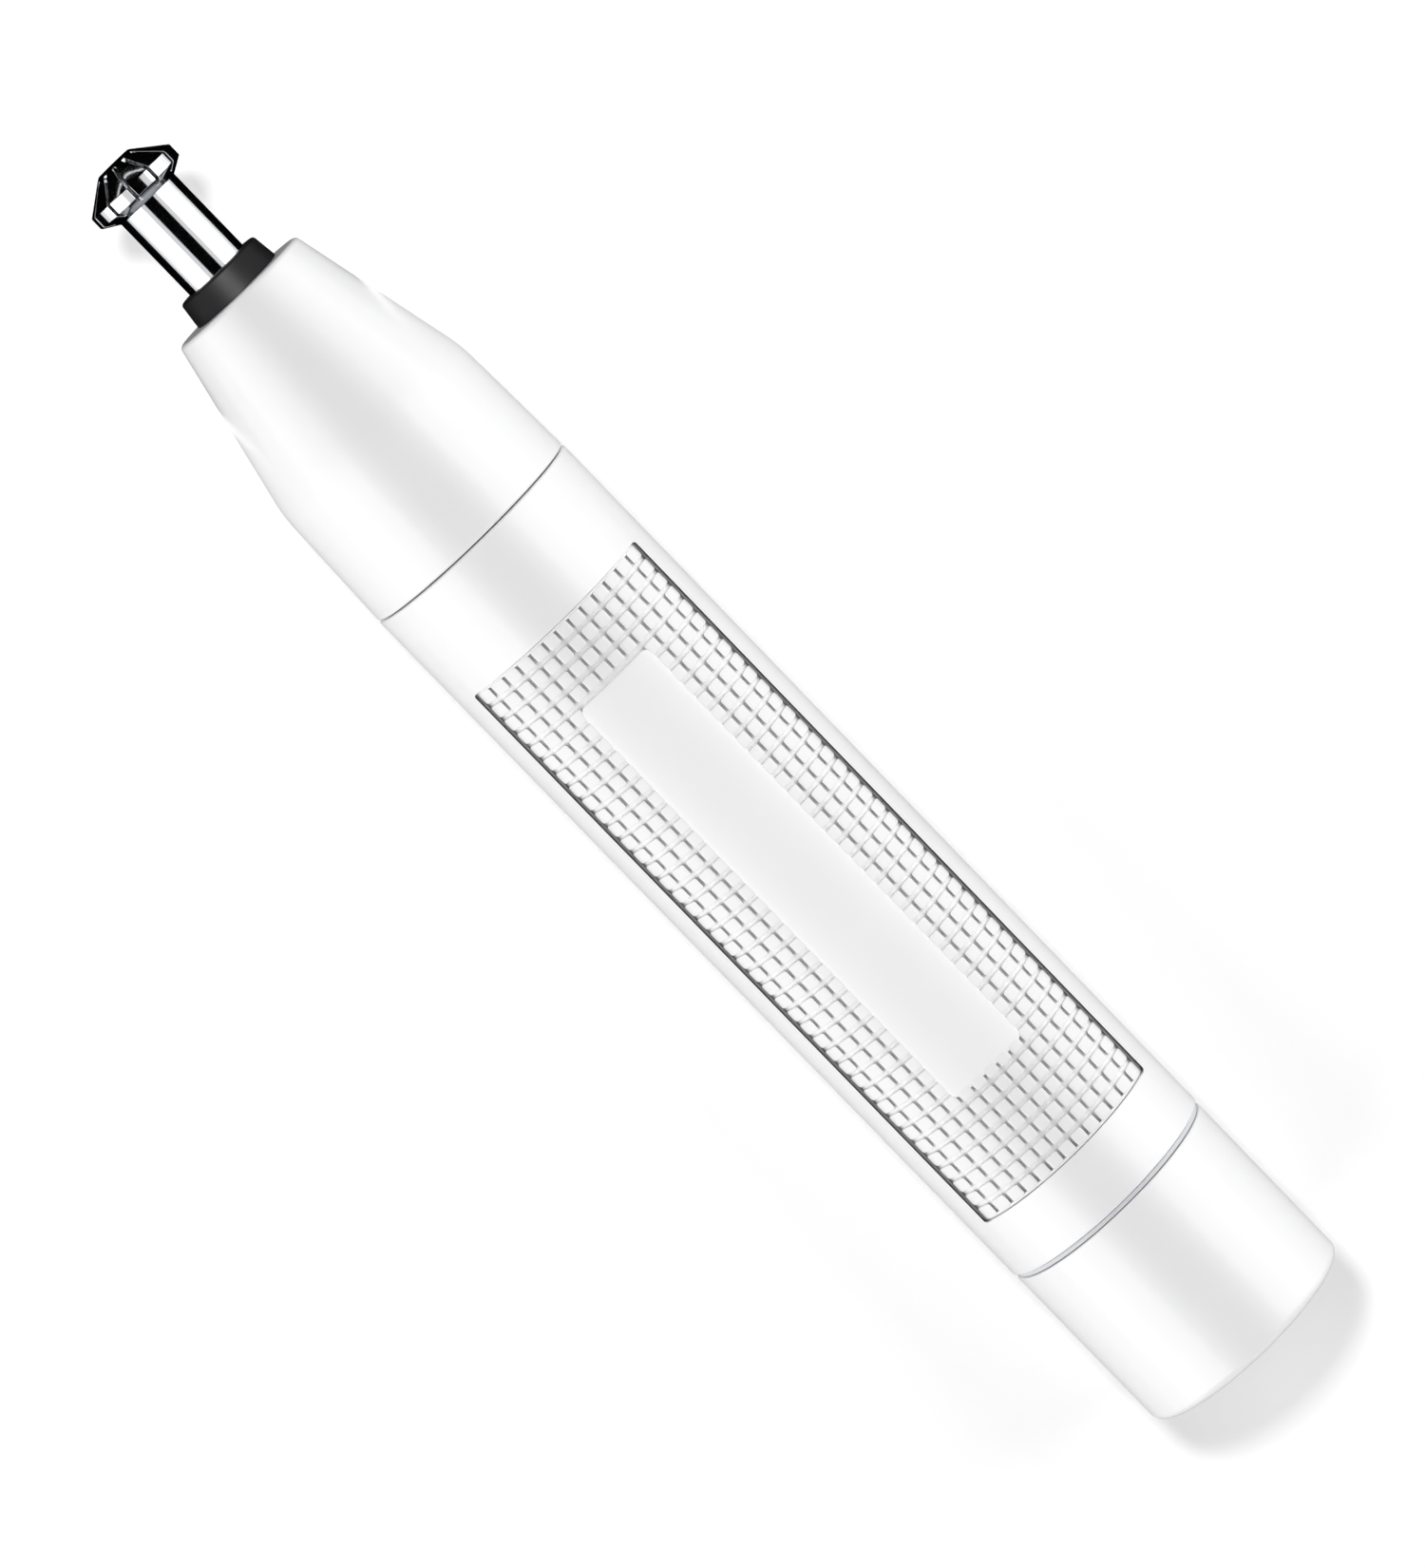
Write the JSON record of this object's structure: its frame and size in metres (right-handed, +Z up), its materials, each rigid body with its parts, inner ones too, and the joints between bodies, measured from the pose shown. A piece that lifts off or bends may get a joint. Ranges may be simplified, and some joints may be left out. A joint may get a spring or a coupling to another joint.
{
  "type": "nose hair trimmer",
  "caption": "Round battery nose hair trimmer with a slotted steel crown on a thin tube, a conical nose, a waffle grip panel and a twist-off tail cap.",
  "frame": {"origin": "middle of the trimmer's length and width, on the surface that it lies on", "axes": "+X along the trimmer from the crown to the tail cap, +Z up out of the label plate"},
  "size_m": [0.1356, 0.021, 0.0209],
  "materials": {
    "white_shell": "glossy moulded ABS",
    "grip_plastic": "fine matte moulded ABS",
    "label_plastic": "smooth satin ABS",
    "grey_plastic": "satin moulded plastic",
    "black_plastic": "satin moulded plastic",
    "seal_rubber": "nitrile rubber",
    "polished_steel": "mirror polished stainless steel",
    "tool_steel": "ground steel",
    "bush_bronze": "sintered bronze",
    "coupling_nylon": "natural nylon",
    "motor_steel": "plated pressed steel",
    "magnet_ferrite": "ground ferrite",
    "copper": "enamelled copper",
    "contact_brass": "bright pressed brass",
    "chassis_plastic": "moulded ABS",
    "red_insulation": "PVC insulation",
    "black_insulation": "PVC insulation",
    "battery_wrap": "satin film wrap",
    "battery_steel": "nickel plated steel"
  },
  "bodies": {
    "handle": {"nose_cone": "white_shell", "barrel": "white_shell", "grip_panel": "grip_plastic", "label_plate": "label_plastic", "motor_cradle": "chassis_plastic", "motor_can": "motor_steel", "motor_magnets": "magnet_ferrite", "motor_front_bush": "bush_bronze", "motor_rear_bush": "bush_bronze", "motor_end_cap": "chassis_plastic", "motor_brushes": "contact_brass", "motor_terminals": "contact_brass", "red_lead": "red_insulation", "black_lead": "black_insulation", "contact_strip": "contact_brass", "battery_tube": "chassis_plastic", "positive_contact": "contact_brass", "tail_seal": "seal_rubber"},
    "rotor": {"drive_dog": "coupling_nylon", "motor_shaft": "tool_steel", "armature": "motor_steel", "armature_coils": "copper", "commutator": "copper"},
    "head_lock": {"release_ring": "grey_plastic"},
    "cutter_head": {"crown": "polished_steel", "cutter_tube": "polished_steel", "head_base": "black_plastic", "head_seal": "seal_rubber", "front_bush": "bush_bronze", "rear_bush": "bush_bronze"},
    "cutter": {"inner_blade": "tool_steel", "spindle": "tool_steel", "spindle_clip": "tool_steel", "spindle_spring": "tool_steel", "driven_dog": "coupling_nylon"},
    "switch": {"switch_ring": "grey_plastic", "switch_contact": "contact_brass"},
    "tail": {"tail_cap": "white_shell", "cap_contact": "contact_brass", "spring_plate": "contact_brass", "battery_spring": "tool_steel"},
    "battery": {"battery_cell": "battery_wrap", "battery_nub": "battery_steel", "battery_base": "battery_steel"}
  },
  "joints": [
    {"name": "motor_spin", "type": "hinge", "parent": "handle", "child": "rotor", "pos_m": [0, 0, 0.01044], "axis": [1, 0, 0], "continuous": true},
    {"name": "head_twist", "type": "hinge", "parent": "handle", "child": "head_lock", "pos_m": [0, 0, 0.01044], "axis": [1, 0, 0], "range_deg": [0, 45]},
    {"name": "head_pull", "type": "slide", "parent": "head_lock", "child": "cutter_head", "axis": [-1, 0, 0], "range_m": [0, 0.03]},
    {"name": "cutter_spin", "type": "hinge", "parent": "cutter_head", "child": "cutter", "pos_m": [0, 0, 0.01044], "axis": [1, 0, 0], "continuous": true},
    {"name": "cap_twist", "type": "hinge", "parent": "handle", "child": "switch", "pos_m": [0, 0, 0.01044], "axis": [1, 0, 0], "range_deg": [0, 60]},
    {"name": "cap_pull", "type": "slide", "parent": "switch", "child": "tail", "axis": [1, 0, 0], "range_m": [0, 0.07]},
    {"name": "battery_slide", "type": "slide", "parent": "handle", "child": "battery", "axis": [1, 0, 0], "range_m": [0, 0.035]}
  ],
  "couplings": [
    {"joint": "cutter_spin", "follows": "motor_spin", "ratio": 1},
    {"joint": "battery_slide", "follows": "cap_pull", "ratio": 0.5}
  ]
}
